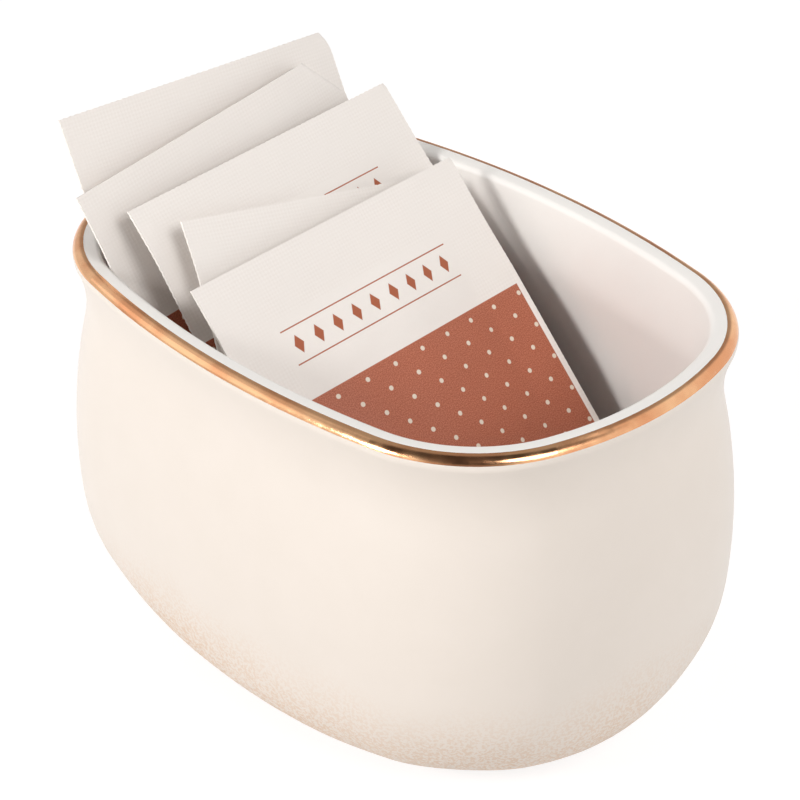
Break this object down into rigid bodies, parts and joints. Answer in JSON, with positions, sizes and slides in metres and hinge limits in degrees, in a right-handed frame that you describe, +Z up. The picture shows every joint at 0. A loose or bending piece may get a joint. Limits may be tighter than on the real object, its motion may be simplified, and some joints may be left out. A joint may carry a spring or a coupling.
{
  "type": "sugar packet holder",
  "caption": "Oval glazed ceramic bowl with a flared gilded lip that holds a leaning row of sealed paper sugar packets, each of which lifts out along its own slope.",
  "frame": {"origin": "centre of the bowl's foot, on the table", "axes": "+Z up, +X along the bowl's long side towards the open end in front of the packets, +Y across the bowl"},
  "size_m": [0.117, 0.0842, 0.0907],
  "materials": {
    "glaze": "glossy",
    "gold": "polished",
    "paper": "matte",
    "sugar": "granular"
  },
  "bodies": {
    "holder": {"bowl": "glaze", "gold_rim": "gold"},
    "packet_1": {"packet_1_front_paper": "paper", "packet_1_back_paper": "paper", "packet_1_sugar": "sugar"},
    "packet_2": {"packet_2_front_paper": "paper", "packet_2_back_paper": "paper", "packet_2_sugar": "sugar"},
    "packet_3": {"packet_3_front_paper": "paper", "packet_3_back_paper": "paper", "packet_3_sugar": "sugar"},
    "packet_4": {"packet_4_front_paper": "paper", "packet_4_back_paper": "paper", "packet_4_sugar": "sugar"},
    "packet_5": {"packet_5_front_paper": "paper", "packet_5_back_paper": "paper", "packet_5_sugar": "sugar"}
  },
  "joints": [
    {"name": "packet_1_lift", "type": "slide", "parent": "holder", "child": "packet_1", "axis": [-0.4846, 0.0297, 0.8742], "range_m": [0, 0.14]},
    {"name": "packet_2_lift", "type": "slide", "parent": "holder", "child": "packet_2", "axis": [-0.4804, -0.134, 0.8667], "range_m": [0, 0.14]},
    {"name": "packet_3_lift", "type": "slide", "parent": "holder", "child": "packet_3", "axis": [-0.6611, -0.068, 0.7472], "range_m": [0, 0.078]},
    {"name": "packet_4_lift", "type": "slide", "parent": "holder", "child": "packet_4", "axis": [-0.6517, 0.1805, 0.7367], "range_m": [0, 0.078]},
    {"name": "packet_5_lift", "type": "slide", "parent": "holder", "child": "packet_5", "axis": [-0.6617, -0.0541, 0.7479], "range_m": [0, 0.078]}
  ]
}
